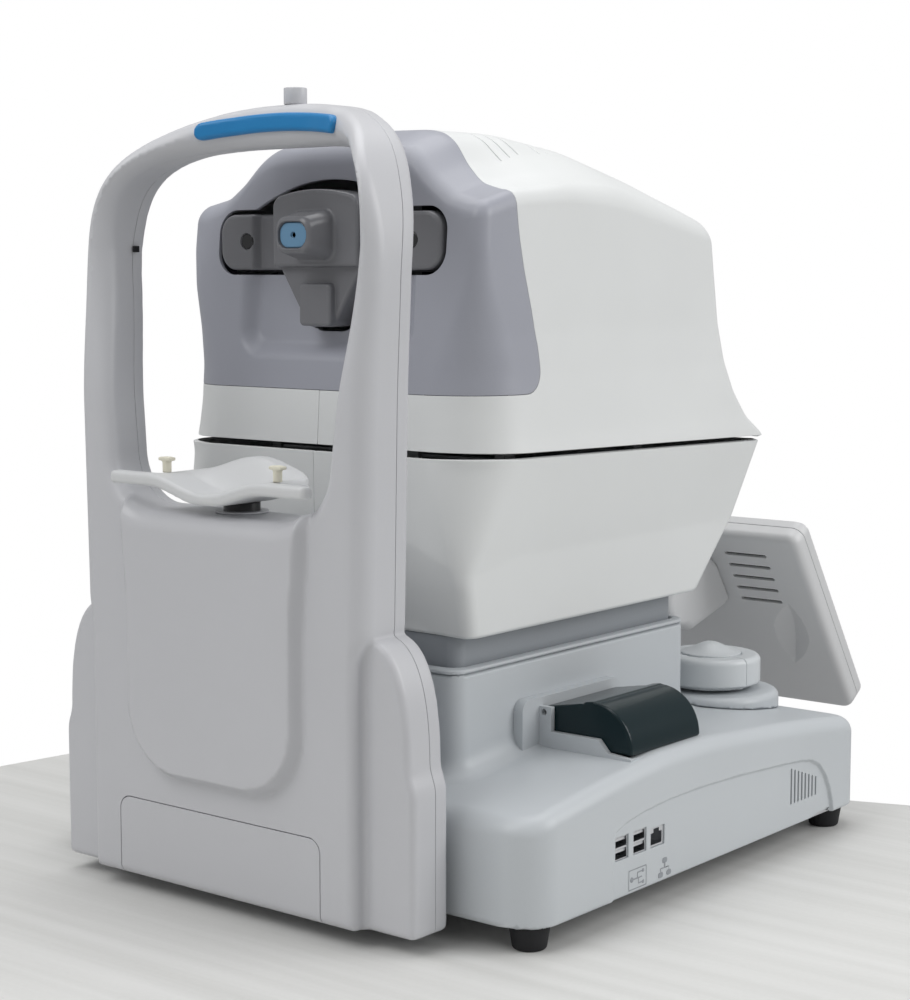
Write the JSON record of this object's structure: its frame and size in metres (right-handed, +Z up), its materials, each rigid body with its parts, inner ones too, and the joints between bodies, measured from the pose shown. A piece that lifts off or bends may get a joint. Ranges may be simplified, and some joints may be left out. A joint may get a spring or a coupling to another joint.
{
  "type": "tabletop autorefractor",
  "caption": "Tabletop eye-measuring instrument with face frame, motorised chin rest, lifting and sliding head, printer, control knob and tilting monitor.",
  "frame": {"origin": "centre of the overall box on the table plane, under the feet", "axes": "+Z up, patient side at -Y, operator side with the monitor at +Y, printer and data ports on the +X side"},
  "size_m": [0.398, 0.5689, 0.4903],
  "materials": {
    "base_plastic": "fine satin moulding, bluish light grey",
    "frame_plastic": "silvery satin paint",
    "white_plastic": "satin white",
    "panel_grey": "satin lavender grey",
    "nose_grey": "satin mid grey",
    "neck_grey": "satin grey",
    "forehead_blue": "soft silicone",
    "chin_plastic": "semi-gloss",
    "pin_ivory": "ivory nylon",
    "black_rubber": "matte",
    "black_plastic": "matte",
    "smoked_cover": "smoked transparent, glossy",
    "lens_glass": "blue coated",
    "dark_glass": "dark infrared window",
    "screen_glass": "dark display",
    "knob_plastic": "satin light blue-grey",
    "monitor_plastic": "satin off-white",
    "steel": "zinc-plated",
    "alu": "milled",
    "socket_metal": "bright tin shell",
    "dark_metal": "black",
    "board_green": "circuit board",
    "paper_white": "thermal paper"
  },
  "bodies": {
    "base": {"base_cover": "base_plastic", "base_plate": "steel", "rubber_feet": "black_rubber", "foot_screws": "steel", "neck_collar": "base_plastic", "knob_platform": "base_plastic", "usb_ports": "socket_metal", "lan_port": "socket_metal", "io_board": "board_green", "main_board": "board_green", "power_supply": "alu", "power_inlet": "black_plastic", "lift_column": "alu", "lift_motor": "dark_metal", "printer_tray": "black_plastic", "printer_bezel": "base_plastic", "print_head": "dark_metal", "frame_front_shell": "frame_plastic", "frame_rear_shell": "frame_plastic", "forehead_rest": "forehead_blue", "access_panel": "frame_plastic", "eye_marks": "black_plastic", "top_peg": "frame_plastic", "frame_bracket": "steel", "bracket_screws": "steel", "chin_motor": "dark_metal", "chin_collar": "frame_plastic", "monitor_arm": "base_plastic", "monitor_hinge": "steel", "knob_shaft": "steel"},
    "head_lift": {"lower_casing_left": "white_plastic", "lower_casing_right": "white_plastic", "upper_neck": "neck_grey", "lift_rod": "steel", "lift_platform": "alu", "x_rails": "steel"},
    "head_x": {"x_carriage": "alu", "y_rails": "steel"},
    "head_y": {"head_plate": "alu", "upper_casing_left": "white_plastic", "upper_casing_right": "white_plastic", "front_panel": "panel_grey", "nose_cover": "nose_grey", "lens_window": "lens_glass", "side_windows": "dark_glass", "optics_tube": "dark_metal"},
    "chin_rest": {"chin_column": "black_plastic", "chin_plate": "chin_plastic", "paper_pins": "pin_ivory"},
    "monitor": {"monitor_bracket": "monitor_plastic", "monitor_back": "monitor_plastic", "monitor_front": "monitor_plastic", "monitor_screen": "screen_glass"},
    "printer_lid": {"printer_cover": "smoked_cover"},
    "paper": {"paper_roll": "paper_white"},
    "platen": {"feed_roller": "black_rubber"},
    "knob_dial": {"knob": "knob_plastic"},
    "knob_cap": {"knob_button": "knob_plastic"},
    "rocker": {"power_switch": "black_plastic"}
  },
  "joints": [
    {"name": "head_lift_slide", "type": "slide", "parent": "base", "child": "head_lift", "axis": [0, 0, 1], "range_m": [-0.014, 0.01]},
    {"name": "head_side_slide", "type": "slide", "parent": "head_lift", "child": "head_x", "axis": [1, 0, 0], "range_m": [-0.043, 0.043]},
    {"name": "head_depth_slide", "type": "slide", "parent": "head_x", "child": "head_y", "axis": [0, 1, 0], "range_m": [-0.012, 0.02]},
    {"name": "chin_lift_slide", "type": "slide", "parent": "base", "child": "chin_rest", "axis": [0, 0, 1], "range_m": [0, 0.06]},
    {"name": "monitor_tilt", "type": "hinge", "parent": "base", "child": "monitor", "pos_m": [0, 0.141, 0.139], "axis": [1, 0, 0], "range_deg": [-8, 20]},
    {"name": "printer_lid_hinge", "type": "hinge", "parent": "base", "child": "printer_lid", "pos_m": [0.1225, -0.075, 0.1125], "axis": [0, -1, 0], "range_deg": [0, 60]},
    {"name": "platen_spin", "type": "hinge", "parent": "base", "child": "platen", "pos_m": [0.167, -0.075, 0.086], "axis": [0, 1, 0], "continuous": true},
    {"name": "paper_spin", "type": "hinge", "parent": "base", "child": "paper", "pos_m": [0.142, -0.075, 0.077], "axis": [0, 1, 0], "continuous": true},
    {"name": "knob_spin", "type": "hinge", "parent": "base", "child": "knob_dial", "pos_m": [0.1, 0.111, 0.1], "axis": [0, 0, 1], "continuous": true},
    {"name": "knob_press", "type": "slide", "parent": "knob_dial", "child": "knob_cap", "axis": [0, 0, -1], "range_m": [0, 0.002], "stiffness_N_per_m": 400, "springref_m": -0.001},
    {"name": "switch_rock", "type": "hinge", "parent": "base", "child": "rocker", "pos_m": [-0.191, 0.0862, 0.044], "axis": [0, 1, 0], "range_deg": [-8, 8]}
  ],
  "couplings": [
    {"joint": "platen_spin", "follows": "paper_spin", "ratio": -3.8}
  ]
}
